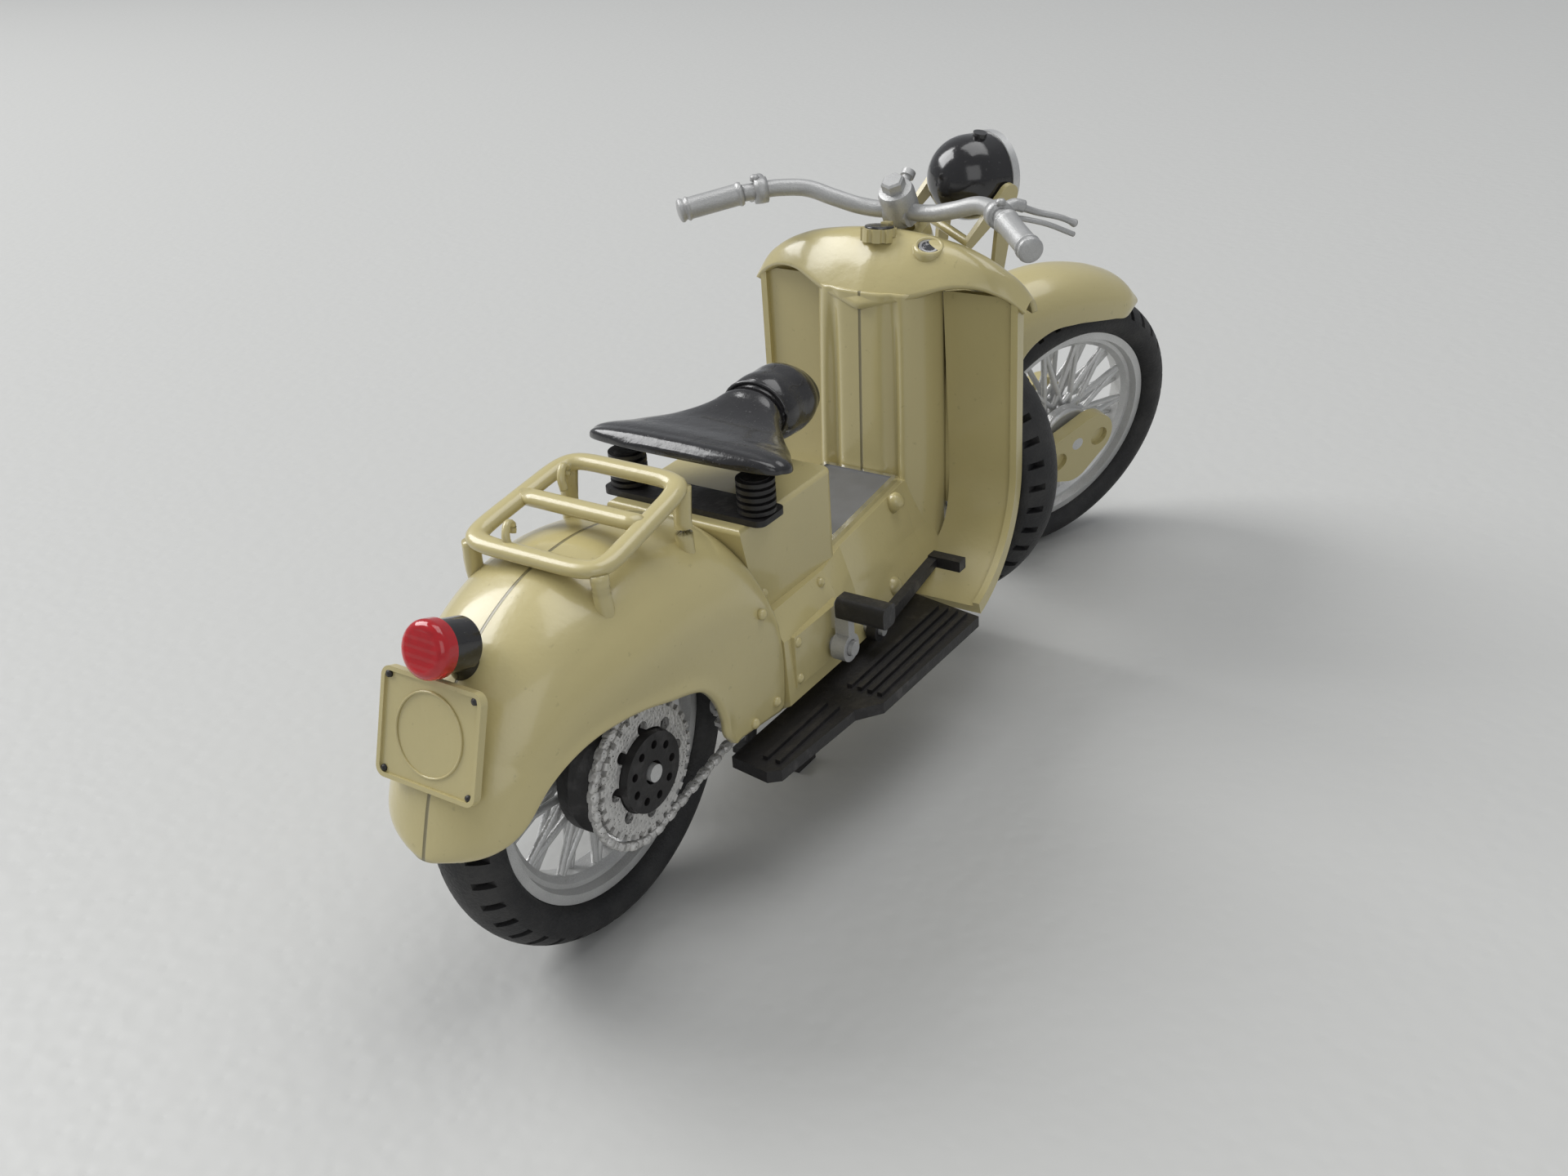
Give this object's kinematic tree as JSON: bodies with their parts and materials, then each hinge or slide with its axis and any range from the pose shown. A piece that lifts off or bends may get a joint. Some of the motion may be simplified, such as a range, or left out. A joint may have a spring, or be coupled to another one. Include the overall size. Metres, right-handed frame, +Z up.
{
  "type": "toy motor scooter",
  "caption": "Small model of a large-wheeled step-through motor scooter with leg shield, spare wheel, saddle, rear rack and exposed chain drive; it steers and rolls.",
  "frame": {"origin": "on the ground under the middle of the model", "axes": "+X forward, +Y to the rider's left, +Z up"},
  "size_m": [0.0829, 0.028, 0.0385],
  "materials": {
    "tyre": "black rubber, lugged",
    "silver_paint": "matte silver",
    "black_metal": "satin black",
    "bright_steel": "bright",
    "black_gloss": "glossy black",
    "black_rubber": "matte black",
    "saddle_cover": "glossy black",
    "grey_mat": "matte grey",
    "lamp_glass": "clear",
    "red_lens": "red, see-through",
    "cream_paint": "gloss cream"
  },
  "bodies": {
    "frame": {"column": "cream_paint", "control_pins": "silver_paint", "drive_chain": "bright_steel", "drive_shaft": "silver_paint", "engine_case": "cream_paint", "filler_cap": "cream_paint", "floor_mat": "grey_mat", "footboard_left": "black_rubber", "footboard_right": "black_rubber", "gauge": "cream_paint", "head_tube": "silver_paint", "leg_shield_left": "cream_paint", "leg_shield_right": "cream_paint", "mat_trim": "bright_steel", "number_plate": "cream_paint", "rack": "cream_paint", "rear_axle": "black_metal", "rear_body_left": "cream_paint", "rear_body_right": "cream_paint", "saddle": "saddle_cover", "saddle_box": "cream_paint", "saddle_springs": "black_metal", "saddle_strut": "black_metal", "shield_cap": "cream_paint", "spare_carrier": "silver_paint", "spare_rim": "silver_paint", "spare_tyre": "tyre", "stand_lugs": "black_metal", "swing_arm": "black_metal", "tail_lamp_housing": "black_gloss", "tail_lamp_lens": "red_lens"},
    "rear_wheel": {"rear_tyre": "tyre", "rear_rim": "silver_paint", "rear_brake_drum": "black_metal", "rear_sprocket": "bright_steel", "rear_hub_cover": "black_metal"},
    "drive_wheel": {"drive_sprocket": "bright_steel"},
    "fork_group": {"fork": "cream_paint", "fork_link_right": "cream_paint", "fork_link_left": "cream_paint", "front_axle": "silver_paint", "front_fender": "cream_paint", "headlamp_shell": "black_gloss", "headlamp_rim": "silver_paint", "headlamp_lens": "lamp_glass", "lamp_bracket": "cream_paint"},
    "front_wheel": {"front_tyre": "tyre", "front_rim": "silver_paint", "front_brake_plate": "silver_paint"},
    "bars": {"handlebar": "silver_paint", "grip_right": "silver_paint", "grip_left": "silver_paint", "bar_lever_right": "silver_paint", "bar_lever_left": "silver_paint"},
    "stand": {"centre_stand": "black_metal"},
    "pedal": {"brake_pedal": "black_metal"},
    "kicker": {"kick_lever": "silver_paint", "kick_rubber": "black_rubber"}
  },
  "joints": [
    {"name": "rear_wheel_spin", "type": "hinge", "parent": "frame", "child": "rear_wheel", "pos_m": [-0.0273, 0, 0.01175], "axis": [0, 1, 0], "continuous": true},
    {"name": "drive_spin", "type": "hinge", "parent": "frame", "child": "drive_wheel", "pos_m": [-0.0184, 0, 0.011], "axis": [0, 1, 0], "continuous": true},
    {"name": "steering", "type": "hinge", "parent": "frame", "child": "fork_group", "pos_m": [0.01599, 0, 0.02636], "axis": [-0.4695, 0, 0.8829], "range_deg": [-2.5, 57.5]},
    {"name": "front_wheel_spin", "type": "hinge", "parent": "fork_group", "child": "front_wheel", "pos_m": [0.03063, -0.00309, 0.0115], "axis": [0.4077, 0.887, 0.2168], "continuous": true},
    {"name": "handlebar_turn", "type": "hinge", "parent": "frame", "child": "bars", "pos_m": [0.01224, 0, 0.03343], "axis": [-0.4695, 0, 0.8829], "range_deg": [-15, 15]},
    {"name": "stand_fold", "type": "hinge", "parent": "frame", "child": "stand", "pos_m": [-0.0065, 0, 0.0082], "axis": [0, 1, 0], "range_deg": [0, 60]},
    {"name": "pedal_press", "type": "hinge", "parent": "frame", "child": "pedal", "pos_m": [-0.0055, -0.00715, 0.0107], "axis": [0, 1, 0], "range_deg": [0, 10]},
    {"name": "kick_start", "type": "hinge", "parent": "frame", "child": "kicker", "pos_m": [-0.0106, -0.0078, 0.0122], "axis": [0, 1, 0], "range_deg": [-80, 0]}
  ],
  "couplings": [
    {"joint": "drive_spin", "follows": "rear_wheel_spin", "ratio": 2.4615}
  ]
}
